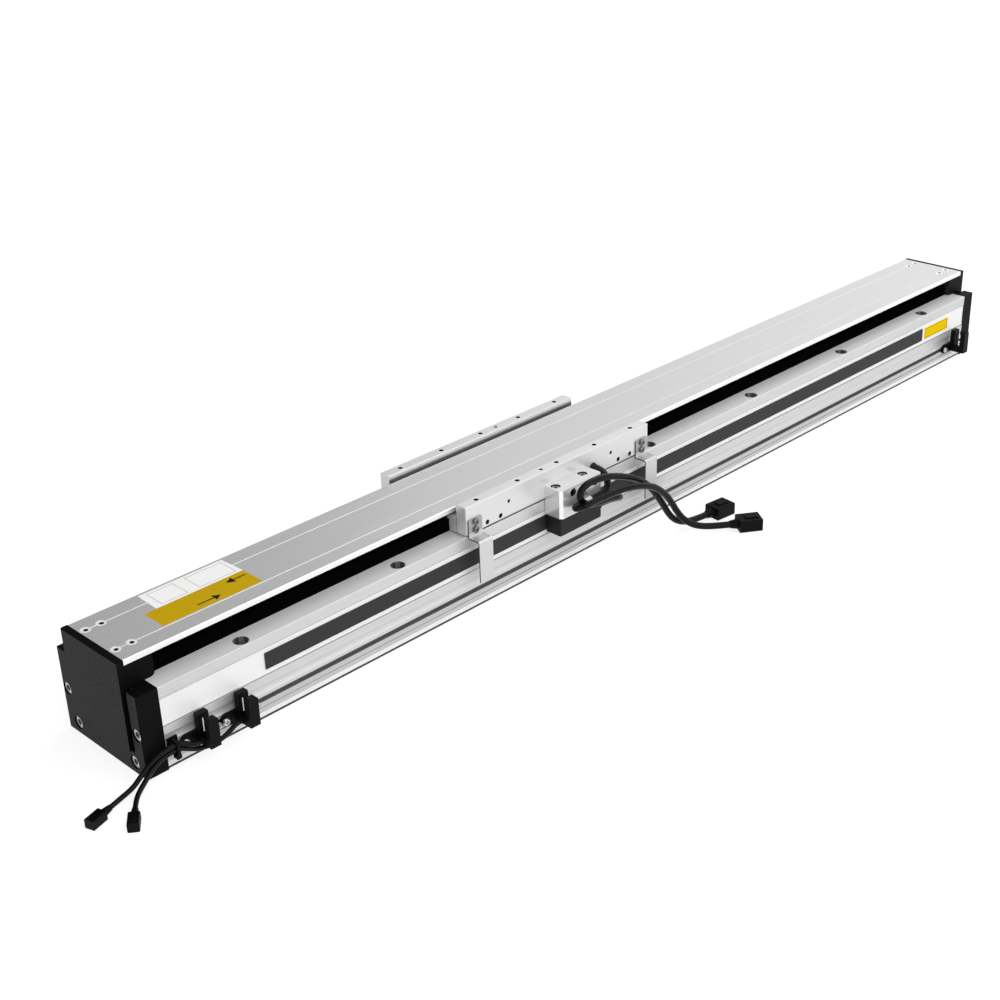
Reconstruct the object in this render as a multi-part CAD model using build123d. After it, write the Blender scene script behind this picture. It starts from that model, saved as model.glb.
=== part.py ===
from build123d import *
import math
import os

# Linear motor module: an extruded base with end blocks and a top cover, and a carriage that straddles
# the cover and runs on two miniature rails inside. X runs along the base, -Y is the side with the scale.
# The origin is the middle of the base's underside. All sizes are in millimetres.

os.makedirs("parts", exist_ok=True)

# Base extrusion
length = 1164.0
base_width = 107.0
base_height = 72.0
side_slot_height = 18.3
scale_land_low = 39.0
scale_land_high = 61.5
scale_land_depth = 0.5
chamber_wall = 12.0
chamber_low = 15.0
chamber_drop = 21.0

# End blocks
block_depth = 19.0
block_set_back = 2.0
pad_foot = 19.0
pad_relief_width = 4.0
pad_relief_depth = 6.0
tongue_reach = 30.0
cover_stop = 6.0
end_screw_shank = 5.0
end_screw_head = 10.0
end_screw_insets = ((14.8, 9.4), (6.3, 37.0))
bumper_row = 11.0
bumper_lift = 7.1
bumper_length = 7.0
bumper_diameter = 10.0
stud_diameter = 3.3

# Top cover
cover_thickness = 4.5
cover_gap = 3.0
cover_overlap = 5.0
cover_groove_row = 20.4
cover_groove_depth = 0.5
cover_screw_ends = (11.4, 24.9)
cover_screw_shank = 3.3
cover_screw_head = 8.2
cover_screw_reach = 12.0
cover_screw_socket = 2.8
cover_sink = 2.3

# Mounting holes in the base ledges
base_hole_count = 7
base_hole_pitch = 160.0
base_hole_inset = 8.0
base_hole_head = 13.0
base_hole_head_depth = 40.0
base_hole_through = 8.4

# Rails, guide blocks and the ironless motor inside
rail_width = 12.0
rail_height = 7.5
rail_hole_pitch = 75.0
guide_block_width = 27.0
guide_block_length = 45.0
guide_block_lift = 3.0
guide_height = 13.0
guide_block_inset = 10.8
guide_screw_spread = 10.0
rail_set_off = 0.35
magnet_pitch = 30.0
magnet_size = (28.0, 4.0, 36.0)
yoke_wall = 3.5
yoke_height = 46.4
air_gap = 0.7
coil_inset = 13.3
coil_thickness = 6.2
coil_height = 41.0
coil_bar_width = 7.8

# Carriage table
carriage_from_left = 451.0
table_length = 236.6
table_overhang = 0.5
wall_thickness = 11.6
wall_rise = 4.5
ledge_clearance = 1.4
plate_thickness = 14.6
table_hole_pitch = 50.0
table_hole_tap = 5.0
table_hole_depth = 14.0
dowel_offset = 20.0
dowel_diameter = 4.0
side_taps = ((25.3, 4.4, 4.5), (41.3, 4.4, 4.5), (51.7, 14.6, 3.4))
neck_thickness = 4.0
seal_thickness = 1.0
seal_clearance = 0.3
seal_groove = 2.4
end_plate_thickness = 3.0
end_plate_screw_row = 20.0
end_plate_screw_lift = 7.0
end_plate_screw_shank = 2.4
lead_exit_offset = 42.0
lead_exit_drop = 6.4
grommet_diameter = 9.6
grommet_depth = 8.0

# Sensor flags, read head and scale
flag_inset = 9.9
flag_width = 16.0
flag_sheet = 1.2
flag_reach = 14.0
flag_dip = 12.5
flag_rise = 15.0
flag_screw_lifts = (11.2, 3.8)
tape_inset = 4.0
tape_height = 14.0
tape_thickness = 1.3
tape_margins = (116.5, 110.0)
head_size = (54.4, 17.0, 17.0)
head_gap = 1.2
head_lift = 0.3
bracket_length = 54.2
bracket_depth = 19.8
bracket_drop = 14.0
bracket_offset = 5.5

# Slot sensors: two from the left end of the module and one from its right end
sensor_margins = (50.4, 87.0, 46.4)
sensor_names = ("limit_sensor_left", "home_sensor", "limit_sensor_right")
sensor_width = 9.2
sensor_drop = 3.3
sensor_height = 25.0
sensor_web = 5.0
slot_gap = 7.0
prong_inner = 5.7
prong_outer = 5.5
ear_half_length = 17.6
ear_thickness = 3.5
ear_screw_offset = 14.4

# Leads
sensor_lead_diameter = 4.0
carriage_lead_diameter = 6.3
fit = 0.05

# Places that follow from the sizes above
x_left = -length / 2
x_right = length / 2
half_width = base_width / 2
base_start = x_left + block_set_back + block_depth
end_screw_places = [(half_width - inset, height) for inset, height in end_screw_insets]
base_hole_row = half_width - base_hole_inset

table_bottom = base_height + ledge_clearance
table_top = table_bottom + plate_thickness
cover_underside = table_top + cover_gap
total_height = cover_underside + cover_thickness
wall_top = total_height + wall_rise
bumper_height = table_bottom + bumper_lift

deck = table_bottom - guide_height
magnet_inner = coil_thickness / 2 + air_gap
yoke_half = magnet_inner + magnet_size[1] + yoke_wall
yoke_top = deck - 2.0
trough_half = yoke_half + fit
trough_floor = yoke_top - yoke_height
rail_row = trough_half + rail_set_off + rail_width / 2
seal_inner = rail_row + guide_block_width / 2 + seal_clearance
seal_row = seal_inner + seal_thickness / 2
ledge_inner = seal_inner + seal_thickness
half_pad = ledge_inner + cover_overlap

carriage_x = x_left + carriage_from_left
table_half = half_width + table_overhang
guide_spread = table_length - guide_block_length - 2 * guide_block_inset
coil_length = table_length - 2 * coil_inset
flag_offset = table_length / 2 - flag_inset
flag_blade = half_width + flag_reach

sensor_foot = side_slot_height - sensor_drop
sensor_top = sensor_foot + sensor_height
slot_floor = sensor_foot + sensor_web
sensor_places = (sensor_margins[0], sensor_margins[1], length - sensor_margins[2])

tape_low = scale_land_low + tape_inset
bracket_x = carriage_x + bracket_offset
bracket_top = wall_top - bracket_drop
head_top = tape_low + (tape_height + head_size[2]) / 2 + head_lift


def block(x, y, z):
    """A box between two limits on each axis."""
    centre = ((x[0] + x[1]) / 2, (y[0] + y[1]) / 2, (z[0] + z[1]) / 2)
    return Pos(*centre) * Box(abs(x[1] - x[0]), abs(y[1] - y[0]), abs(z[1] - z[0]))


def rod(at, along, diameter, depth):
    """A cylinder that starts at a point and runs along a direction."""
    align = (Align.CENTER, Align.CENTER, Align.MIN)
    return Plane(origin=at, z_dir=along) * Cylinder(diameter / 2, depth, align=align)


def bar(points, x_start, x_end):
    """A bar along X whose cross-section is a closed outline of (y, z) points."""
    outline = Plane.YZ.offset(x_start) * make_face(Polyline(*points, close=True))
    return extrude(outline, x_end - x_start)


def mirrored(points):
    """An outline's right half with its mirror image; no point lies on the middle line."""
    return list(points) + [(-y, z) for y, z in reversed(points)]


def nearest_edges(solid, axis, places):
    """The edges along an axis whose middles lie nearest to the given points."""
    along = solid.edges().filter_by(axis)
    return [along.sort_by_distance(place)[0] for place in places]


def save(node, *solids):
    """Writes one node, a single solid or a group of separate ones."""
    shape = solids[0] if len(solids) == 1 else Compound(children=list(solids))
    shape.label = node
    export_step(shape, f"parts/{node}.step")


def cap_screw(at, along, shank, head, head_height, reach):
    """A socket head screw: its head's top face is at a point, its shank runs along a direction."""
    socket = Plane(origin=at, z_dir=along) * extrude(RegularPolygon(head * 0.29, 6), head_height * 0.55)
    return rod(at, along, head, head_height) + rod(at, along, shank, reach) - socket


def pan_screw(at, along, shank, head, head_height, reach):
    """A pan head screw that bears on a face at a point and stands out of it."""
    back = -Vector(along)
    head_solid = rod(at, back, head, head_height)
    head_solid = chamfer(head_solid.edges().filter_by(GeomType.CIRCLE).sort_by_distance(
        Vector(at) + back * head_height)[0], head_height * 0.35)
    cross = Plane(origin=Vector(at) + back * head_height, z_dir=along)
    slot = cross * extrude(Rectangle(head * 0.6, head * 0.14) + Rectangle(head * 0.14, head * 0.6),
                           head_height * 0.5)
    return head_solid + rod(at, along, shank, reach) - slot


# Base extrusion with its channel, side slots, hollow chambers and mounting holes
def side_slot(side):
    """The nut slot in a side face: a narrow mouth over a wider pocket."""
    mouth, lip, pocket, depth = 4.5, 1.4, 8.6, 3.3
    y0, y1, y2 = (side * (half_width - d) for d in (-1.0, lip, depth))
    low = side_slot_height
    points = [(y0, low - mouth / 2), (y1, low - mouth / 2), (y1, low - pocket / 2), (y2, low - pocket / 2),
              (y2, low + pocket / 2), (y1, low + pocket / 2), (y1, low + mouth / 2), (y0, low + mouth / 2)]
    return bar(points, base_start, -base_start)


def side_relief(side):
    """The shallow shapes of a side face: scale land, hollow band, fine grooves and foot chamfer."""
    edge = side * half_width
    land = block((base_start, -base_start), (edge, edge - side * scale_land_depth),
                 (scale_land_low, scale_land_high))
    band_low, band_high, band_depth = 23.5, 30.5, 0.8
    chord = (band_high - band_low) / 2
    band_radius = (chord ** 2 + band_depth ** 2) / (2 * band_depth)
    band_y = side * (half_width + band_radius - band_depth)
    band = rod((base_start, band_y, (band_low + band_high) / 2), (1, 0, 0), 2 * band_radius, -2 * base_start)
    cuts = [land, band]
    for height in (11.2, 37.8):
        points = [(edge + side * 0.3, height - 0.8), (edge - side * 0.5, height), (edge + side * 0.3, height + 0.8)]
        cuts.append(bar(points, base_start, -base_start))
    foot = 1.3
    cuts.append(bar([(edge - side * foot, 0), (edge, 0), (edge, foot)], base_start, -base_start))
    return cuts


def base_extrusion():
    outline = mirrored([(trough_half, trough_floor), (trough_half, deck), (ledge_inner, deck),
                        (ledge_inner, base_height), (half_width, base_height), (half_width, 0)])
    body = bar(outline, base_start, -base_start)
    chamber_inner = trough_half + 4.0
    chamber_outer = half_width - chamber_wall - 6.5
    for side in (-1, 1):
        body -= [side_slot(side)] + side_relief(side)
        chamber_high = base_height - chamber_drop
        face = RectangleRounded(chamber_outer - chamber_inner, chamber_high - chamber_low, 3.0)
        middle = (side * (chamber_inner + chamber_outer) / 2, (chamber_low + chamber_high) / 2)
        body -= extrude(Plane.YZ.offset(base_start) * Pos(*middle) * face, -2 * base_start)
        for index in range(base_hole_count):
            x = (index - (base_hole_count - 1) / 2) * base_hole_pitch
            top = (x, side * base_hole_row, base_height)
            body -= rod(top, (0, 0, -1), base_hole_head, base_hole_head_depth)
            body -= rod(top, (0, 0, -1), base_hole_through, base_height)
        for end in (-1, 1):
            for row, height in end_screw_places:
                body -= rod((end * -base_start, side * row, height), (-end, 0, 0), end_screw_shank, 24.0)
    return body


save("base_extrusion", base_extrusion())


# End blocks: a plate over the extrusion's end, a raised pad as wide as the cover, a tongue under the cover
def end_block(end):
    """One end block, drawn for the left end and turned round for the right one."""
    front = x_left + block_set_back
    plate = block((front, base_start), (-half_width, half_width), (0, base_height))
    corners = [(front, side * half_width, base_height / 2) for side in (-1, 1)]
    plate = fillet(nearest_edges(plate, Axis.Z, corners), 1.2)
    pad = block((x_left, base_start), (-half_pad, half_pad), (pad_foot, total_height))
    tongue_end = x_left + tongue_reach
    tongue = block((base_start, tongue_end), (-half_pad, half_pad), (base_height, cover_underside))
    tongue = fillet(nearest_edges(tongue, Axis.Y, [(tongue_end, 0, base_height)]), 4.0)
    body = plate + pad + tongue
    body -= block((x_left + cover_stop, base_start), (-half_pad, half_pad), (cover_underside, total_height))
    body = chamfer(nearest_edges(body, Axis.Y, [(x_left, 0, total_height)]), 0.8)
    for side in (-1, 1):
        inner, outer = side * half_pad, side * (half_pad + pad_relief_width)
        body -= block((front, front + pad_relief_depth), (inner, outer), (pad_foot, base_height))
        for row, height in end_screw_places:
            seat = (front, side * row, height)
            body -= rod(seat, (1, 0, 0), end_screw_head + 1.0, 7.0)
            body -= rod((x_left, side * row, height), (1, 0, 0), end_screw_shank + 1.6, block_depth + block_set_back)
        for distance in cover_screw_ends:
            hole = (x_left + distance, side * cover_groove_row, cover_underside)
            body -= rod(hole, (0, 0, -1), cover_screw_shank, cover_screw_reach)
        body -= rod((tongue_end, side * bumper_row, bumper_height), (-1, 0, 0), stud_diameter, 9.0)
    return body if end < 0 else Rot(0, 0, 180) * body


for end, place in ((-1, "left"), (1, "right")):
    save(f"end_block_{place}", end_block(end))


def end_screws():
    """Four socket head screws through each end block into the extrusion."""
    screws = []
    for end in (-1, 1):
        for side in (-1, 1):
            for row, height in end_screw_places:
                top = (end * (x_right - block_set_back - 1.0), side * row, height)
                screws.append(cap_screw(top, (-end, 0, 0), end_screw_shank - 2 * fit, end_screw_head, 6.0, 34.0))
    return screws


save("end_block_screws", *end_screws())


# Top cover: a flat bar between the end blocks' stops with two fine grooves and countersunk screws
def top_cover():
    ends = (x_left + cover_stop, x_right - cover_stop)
    cover = block(ends, (-half_pad, half_pad), (cover_underside, total_height))
    edges = [(0, side * half_pad, total_height) for side in (-1, 1)]
    cover = chamfer(nearest_edges(cover, Axis.X, edges), 0.8)
    hole = cover_screw_shank + 1.1
    for side in (-1, 1):
        row, depth = side * cover_groove_row, cover_groove_depth
        cover -= bar([(row - depth, total_height), (row, total_height - depth), (row + depth, total_height)], *ends)
        for x in cover_screw_rows():
            cover -= rod((x, row, cover_underside), (0, 0, 1), hole, cover_thickness)
            cover -= Pos(x, row, total_height - cover_sink / 2) * Cone(hole / 2, cover_screw_head / 2 + 0.4, cover_sink)
    return cover


def cover_screw_rows():
    return [end * (x_right - distance) for end in (-1, 1) for distance in cover_screw_ends]


def cover_screws():
    """Countersunk socket screws, four at each end on the groove lines."""
    screws = []
    top = total_height - 0.3
    for side in (-1, 1):
        for x in cover_screw_rows():
            y = side * cover_groove_row
            height = cover_sink - 0.1
            head = Pos(x, y, top - height / 2) * Cone(cover_screw_shank / 2 + 0.25, cover_screw_head / 2, height)
            shank = rod((x, y, top - height / 2), (0, 0, -1), cover_screw_shank - 2 * fit, cover_screw_reach)
            mouth = Plane(origin=(x, y, top + 0.1), z_dir=(0, 0, -1))
            socket = mouth * extrude(RegularPolygon(cover_screw_socket / 2, 6), cover_sink - 0.7)
            screws.append(head + shank - socket)
    return screws


save("top_cover", top_cover())
save("cover_screws", *cover_screws())


# Dust seals: a lip on each side of the channel, and a short skirt under each edge of the cover
seal_reach = x_right - tongue_reach - 0.3
lip_top = table_top - neck_thickness - 0.5
for side, place in ((-1, "near"), (1, "far")):
    inner, outer = side * seal_inner, side * ledge_inner
    save(f"dust_lip_{place}", block((-seal_reach, seal_reach), (inner, outer), (deck, lip_top)))
    skirt_outer = side * (seal_row + 3.0)
    skirt = block((-seal_reach, seal_reach), (inner, skirt_outer), (table_top + 0.5, cover_underside))
    save(f"cover_skirt_{place}", skirt)


# Rails with their screws, and the guide blocks that run on them
rail_end = x_right - 25.0
rail_hole_count = int((2 * rail_end - 30.0) // rail_hole_pitch) + 1
rail_hole_places = [(index - (rail_hole_count - 1) / 2) * rail_hole_pitch for index in range(rail_hole_count)]
rail_sink = 4.5
race_height = 4.6


def guide_rail(side):
    """A rail with a round ball groove in each flank and counterbored holes."""
    row = side * rail_row
    half = rail_width / 2
    rail = block((-rail_end, rail_end), (row - half, row + half), (deck, deck + rail_height))
    for flank in (-half, half):
        rail -= rod((-rail_end, row + flank, deck + race_height), (1, 0, 0), 1.6, 2 * rail_end)
    for x in rail_hole_places:
        rail -= rod((x, row, deck + rail_height), (0, 0, -1), 6.2, rail_sink)
    return rail


def rail_screws(side):
    """The heads of the cap screws sunk in one rail."""
    seat = deck + rail_height - rail_sink
    return [rod((x, side * rail_row, seat), (0, 0, 1), 5.6, 3.2) for x in rail_hole_places]


def guide_block(x, side):
    """A guide block: a body over the rail, with a thinner end cap at each end."""
    row = side * rail_row
    top = deck + guide_height
    half, cap = guide_block_width / 2, 4.0
    x0, x1 = x - guide_block_length / 2, x + guide_block_length / 2
    body = block((x0 + cap, x1 - cap), (row - half, row + half), (deck + guide_block_lift, top))
    for a, b in ((x0, x0 + cap), (x1 - cap, x1)):
        body += block((a, b), (row - half + 0.8, row + half - 0.8), (deck + guide_block_lift + 0.6, top - 1.0))
    slot_half = rail_width / 2 + fit
    body -= block((x0, x1), (row - slot_half, row + slot_half), (deck, deck + rail_height + 0.3))
    for dx in (-guide_screw_spread, guide_screw_spread):
        for dy in (-guide_screw_spread, guide_screw_spread):
            body -= rod((x + dx, row + dy, top), (0, 0, -1), 2.6, 3.5)
    return body


for side, place in ((-1, "near"), (1, "far")):
    save(f"guide_rail_{place}", guide_rail(side))
save("rail_screws", *rail_screws(-1), *rail_screws(1))

guide_places = (("left", carriage_x - guide_spread / 2), ("right", carriage_x + guide_spread / 2))
for side, place in ((-1, "near"), (1, "far")):
    for end_name, x in guide_places:
        save(f"guide_block_{place}_{end_name}", guide_block(x, side))


# Motor: a U-shaped magnet track in the base's trough, and the coil blade that hangs between its magnets
coil_screw_pitch = (coil_length - 30.0) / 4
coil_screw_places = [carriage_x + index * coil_screw_pitch for index in range(-2, 3)]


def magnet_yoke():
    inner = yoke_half - yoke_wall
    outline = mirrored([(inner, trough_floor + 4.0), (inner, yoke_top), (yoke_half, yoke_top),
                        (yoke_half, trough_floor)])
    return bar(outline, -rail_end, rail_end)


def magnets(side):
    """One row of flat magnets on a wall of the yoke."""
    count = int(2 * rail_end // magnet_pitch)
    long, thick, tall = magnet_size
    inner, outer = side * magnet_inner, side * (magnet_inner + thick)
    foot = yoke_top - 1.5 - tall
    row = []
    for index in range(count):
        x = (index - (count - 1) / 2) * magnet_pitch
        row.append(block((x - long / 2, x + long / 2), (inner, outer), (foot, foot + tall)))
    return row


def coil_unit():
    """The resin-cast coil blade with the thicker bar that bolts to the table."""
    x0, x1 = carriage_x - coil_length / 2, carriage_x + coil_length / 2
    bar_foot = deck - 1.0
    tip = bar_foot - coil_height
    blade = block((x0, x1), (-coil_thickness / 2, coil_thickness / 2), (tip, bar_foot + 1.0))
    blade = fillet(nearest_edges(blade, Axis.Y, [(x0, 0, tip), (x1, 0, tip)]), 5.0)
    root = block((x0, x1), (-coil_bar_width / 2, coil_bar_width / 2), (bar_foot, table_bottom))
    for x in coil_screw_places:
        root -= rod((x, 0, table_bottom), (0, 0, -1), 2.6, 6.0)
    return blade + root


save("magnet_yoke", magnet_yoke())
save("magnets_near", *magnets(-1))
save("magnets_far", *magnets(1))
save("coil_unit", coil_unit())


# Rubber stops on the end blocks' tongues
def bumpers(end):
    """Two turned rubber stops with their studs."""
    face = end * (x_right - tongue_reach)
    stops = []
    for side in (-1, 1):
        at = (face, side * bumper_row, bumper_height)
        body = rod(at, (-end, 0, 0), bumper_diameter, bumper_length)
        rim = body.edges().filter_by(GeomType.CIRCLE).sort_by_distance((0, side * bumper_row, bumper_height))[0]
        body = chamfer(rim, 1.2)
        stops.append(body + rod(at, (end, 0, 0), stud_diameter - 2 * fit, 8.0))
    return stops


for end, place in ((-1, "left"), (1, "right")):
    save(f"bumpers_{place}", *bumpers(end))


# Carriage table: a plate under the cover with a wall on each side that rises past the cover's edge
bracket_screw_offsets = (-11.6, 18.0)
bracket_screw_height = bracket_top - 5.5
flag_screw_heights = [table_bottom + lift for lift in flag_screw_lifts]
lead_exit = (carriage_x + lead_exit_offset, -table_half, table_top - lead_exit_drop)
table_hole_places = [carriage_x + index * table_hole_pitch for index in range(-2, 3)]


def carriage_table():
    wall_inner = table_half - wall_thickness
    groove = (seal_row - seal_groove / 2, seal_row + seal_groove / 2)
    neck_foot = table_top - neck_thickness
    outline = mirrored([(wall_inner, table_top), (wall_inner, wall_top), (table_half, wall_top),
                        (table_half, table_bottom), (groove[1], table_bottom), (groove[1], neck_foot),
                        (groove[0], neck_foot), (groove[0], table_bottom)])
    start, finish = carriage_x - table_length / 2, carriage_x + table_length / 2
    table = bar(outline, start, finish)
    rims = [(carriage_x, side * y, wall_top) for side in (-1, 1) for y in (wall_inner, table_half)]
    table = chamfer(nearest_edges(table, Axis.X, rims), 0.5)
    wall_row = table_half - wall_thickness / 2
    for side in (-1, 1):
        for x in table_hole_places:
            table -= rod((x, side * wall_row, wall_top), (0, 0, -1), table_hole_tap, table_hole_depth)
        dowel_x = carriage_x + side * dowel_offset
        table -= rod((dowel_x, side * wall_row, wall_top), (0, 0, -1), dowel_diameter, 8.0)
        for inset, lift, diameter in side_taps:
            for x in (start + inset, finish - inset):
                table -= rod((x, side * table_half, table_bottom + lift), (0, -side, 0), diameter, 7.0)
    for end in (-1, 1):
        for height in flag_screw_heights:
            table -= rod((carriage_x + end * flag_offset, -table_half, height), (0, 1, 0), 2.5, 7.0)
        for row in (-end_plate_screw_row, end_plate_screw_row):
            face = (carriage_x + end * table_length / 2, row, table_bottom + end_plate_screw_lift)
            table -= rod(face, (-end, 0, 0), end_plate_screw_shank + 2 * fit, 8.0)
    for offset in bracket_screw_offsets:
        table -= rod((bracket_x + offset, -table_half, bracket_screw_height), (0, 1, 0), 3.3, 9.0)
    table -= rod(lead_exit, (0, 1, 0), grommet_diameter, grommet_depth)
    for x, y in block_screw_places():
        table -= rod((x, y, table_top), (0, 0, -1), 5.8, 4.0)
        table -= rod((x, y, table_top), (0, 0, -1), 3.4, plate_thickness)
    for x in coil_screw_places:
        table -= rod((x, 0, table_top), (0, 0, -1), 5.8, 4.0)
        table -= rod((x, 0, table_top), (0, 0, -1), 3.4, plate_thickness)
    return table


def block_screw_places():
    """The four screws of each guide block."""
    middles = [(x, side * rail_row) for _, x in guide_places for side in (-1, 1)]
    steps = (-guide_screw_spread, guide_screw_spread)
    return [(x + dx, y + dy) for x, y in middles for dx in steps for dy in steps]


save("carriage_table", carriage_table())


def table_screws():
    """Cap screws sunk in the plate, over the guide blocks and along the coil unit."""
    seats = [(x, y, 3.0) for x, y in block_screw_places()] + [(x, 0, 5.0) for x in coil_screw_places]
    screws = []
    for x, y, bite in seats:
        top = (x, y, table_top - 0.8)
        screws.append(rod(top, (0, 0, -1), 5.5, 3.2) + rod(top, (0, 0, -1), 2.5, plate_thickness - 0.8 + bite))
    return screws


save("table_screws", *table_screws())


# End plates on the table, dark plastic wipers with a screw near each corner
def end_plate(end):
    face = carriage_x + end * table_length / 2
    half = seal_row - seal_groove / 2
    plate = block((face, face + end * end_plate_thickness), (-half, half), (table_bottom, table_top))
    corners = [(face, side * half, table_bottom) for side in (-1, 1)]
    plate = fillet(nearest_edges(plate, Axis.X, corners), 1.5)
    for row in (-end_plate_screw_row, end_plate_screw_row):
        seat = (face, row, table_bottom + end_plate_screw_lift)
        plate -= rod(seat, (end, 0, 0), end_plate_screw_shank + 0.3, end_plate_thickness)
    return plate


def end_plate_screws():
    screws = []
    for end in (-1, 1):
        seat = carriage_x + end * (table_length / 2 + end_plate_thickness)
        for row in (-end_plate_screw_row, end_plate_screw_row):
            at = (seat, row, table_bottom + end_plate_screw_lift)
            head = rod(at, (end, 0, 0), 2 * end_plate_screw_shank, 1.2)
            screws.append(head + rod(at, (-end, 0, 0), end_plate_screw_shank, 9.0))
    return screws


for end, place in ((-1, "left"), (1, "right")):
    save(f"end_plate_{place}", end_plate(end))
save("end_plate_screws", *end_plate_screws())


# Sensor flags: bent sheet that steps out past the base's edge and hangs into the sensors' slots
def sensor_flag(end):
    x = carriage_x + end * flag_offset
    inner = table_half
    shelf = base_height - 0.5
    flag_foot, flag_head = slot_floor + flag_dip, table_bottom + flag_rise
    y0, y1, y2, y3 = -inner, -inner - flag_sheet, -flag_blade + flag_sheet, -flag_blade
    outline = [(y0, flag_head), (y0, shelf - flag_sheet), (y2, shelf - flag_sheet), (y2, flag_foot),
               (y3, flag_foot), (y3, shelf), (y1, shelf), (y1, flag_head)]
    flag = bar(outline, x - flag_width / 2, x + flag_width / 2)
    flag = fillet(nearest_edges(flag, Axis.X, [(x, y3, shelf), (x, y0, shelf - flag_sheet)]), 1.6)
    flag = fillet(nearest_edges(flag, Axis.X, [(x, y2, shelf - flag_sheet), (x, y1, shelf)]), 0.4)
    tips = [(x + s * flag_width / 2, y1, flag_head) for s in (-1, 1)]
    flag = fillet(nearest_edges(flag, Axis.Y, tips), 2.0)
    for height in flag_screw_heights:
        flag -= rod((x, y0, height), (0, -1, 0), 3.4, flag_sheet)
    return flag


def flag_screws():
    screws = []
    for end in (-1, 1):
        for height in flag_screw_heights:
            at = (carriage_x + end * flag_offset, -table_half - flag_sheet, height)
            screws.append(pan_screw(at, (0, 1, 0), 2.4, 6.2, 2.2, 7.0))
    return screws


for end, place in ((-1, "left"), (1, "right")):
    save(f"sensor_flag_{place}", sensor_flag(end))
save("flag_screws", *flag_screws())


# Scale tape along the base's near side, and the read head that hangs over it from a milled bracket
land_face = half_width - scale_land_depth
tape_face = land_face + tape_thickness
save("scale_tape", block((x_left + tape_margins[0], x_right - tape_margins[1]), (-tape_face, -land_face),
                         (tape_low, tape_low + tape_height)))

head_screw_offsets = (-21.0, 13.9)
head_screw_row = -table_half - 7.5


def read_head():
    """The read head's housing with its lead boss on the right."""
    long, deep, tall = head_size
    x0, x1 = bracket_x - long / 2, bracket_x + long / 2
    back = -tape_face - head_gap
    body = block((x0, x1), (back, back - deep), (head_top - tall, head_top))
    corners = [(x0, back - deep, head_top), (x1, back - deep, head_top)]
    body = fillet(nearest_edges(body, Axis.Z, corners), 1.5)
    for offset in head_screw_offsets:
        body -= rod((bracket_x + offset, head_screw_row, head_top), (0, 0, -1), 3.3, 9.0)
    return body + rod((x1, encoder_exit[1], encoder_exit[2]), (1, 0, 0), 9.0, encoder_boss)


encoder_boss = 4.0
encoder_exit = (bracket_x + head_size[0] / 2 + encoder_boss, -tape_face - head_gap - 9.5, head_top - 9.0)
bracket_front = -table_half - bracket_depth
clip_screw_place = (bracket_x + 1.4, bracket_front, bracket_top - 10.0)


def encoder_bracket():
    """The milled block between the table's wall and the read head, with two rows of sunk screws."""
    x0, x1 = bracket_x - bracket_length / 2, bracket_x + bracket_length / 2
    body = block((x0, x1), (-table_half, bracket_front), (head_top, bracket_top))
    corners = [(x0, bracket_front, bracket_top), (x1, bracket_front, bracket_top)]
    body = chamfer(nearest_edges(body, Axis.Z, corners), 2.5)
    for offset in head_screw_offsets:
        top = (bracket_x + offset, head_screw_row, bracket_top)
        body -= rod(top, (0, 0, -1), 9.0, 5.5)
        body -= rod(top, (0, 0, -1), 4.4, bracket_top - head_top)
    for offset in bracket_screw_offsets:
        face = (bracket_x + offset, bracket_front, bracket_screw_height)
        body -= rod(face, (0, 1, 0), 7.6, 5.0)
        body -= rod(face, (0, 1, 0), 4.4, bracket_depth)
    return body - rod(clip_screw_place, (0, 1, 0), 2.5, 7.0)


def bracket_screws():
    """Two screws down into the read head and two into the table's wall."""
    screws = []
    for offset in head_screw_offsets:
        top = (bracket_x + offset, head_screw_row, bracket_top - 1.3)
        screws.append(cap_screw(top, (0, 0, -1), 3.3 - 2 * fit, 7.0, 4.0, bracket_top - head_top + 7.0))
    for offset in bracket_screw_offsets:
        top = (bracket_x + offset, bracket_front + 0.8, bracket_screw_height)
        screws.append(cap_screw(top, (0, 1, 0), 3.3 - 2 * fit, 7.0, 4.0, bracket_depth + 7.0))
    return screws


save("read_head", read_head())
save("encoder_bracket", encoder_bracket())
save("bracket_screws", *bracket_screws())


# Where the motor lead comes out of the table and where it is held: a grommet, and a P-clip with its screw
clip_wall = 1.0
clip_width = 8.0
clip_bore = carriage_lead_diameter + 0.5
clip_eye = (clip_screw_place[0], bracket_front - clip_wall - clip_bore / 2, clip_screw_place[2] - 8.0)


def lead_grommet():
    ring = rod(lead_exit, (0, 1, 0), grommet_diameter - 2 * fit, grommet_depth)
    return ring - rod(lead_exit, (0, 1, 0), carriage_lead_diameter + 2 * fit, grommet_depth)


def lead_clip():
    """A strip bent round the lead, whose flat end lies under the screw."""
    x, y, z = clip_eye
    start = (x - clip_width / 2, y, z)
    strip = rod(start, (1, 0, 0), clip_bore + 2 * clip_wall, clip_width)
    tab_top = clip_screw_place[2] + clip_width / 2
    tab = block((x - clip_width / 2, x + clip_width / 2), (bracket_front, bracket_front - clip_wall), (z, tab_top))
    tips = [(x + s * clip_width / 2, bracket_front, tab_top) for s in (-1, 1)]
    strip += fillet(nearest_edges(tab, Axis.Y, tips), 3.0)
    strip -= rod(start, (1, 0, 0), clip_bore, clip_width)
    return strip - rod(clip_screw_place, (0, -1, 0), 3.2, clip_wall)


clip_seat = (clip_screw_place[0], bracket_front - clip_wall, clip_screw_place[2])
save("lead_grommet", lead_grommet())
save("lead_clip", lead_clip())
save("lead_clip_screw", pan_screw(clip_seat, (0, 1, 0), 2.4, 5.6, 2.0, 7.0))


# Slot sensors: a U-shaped housing on a foot with two ears over the base's side slot
sensor_face = -half_width
slot_near = sensor_face - ear_thickness - prong_inner
slot_far = slot_near - slot_gap
sensor_front = slot_far - prong_outer
sensor_boss = 2.0


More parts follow.
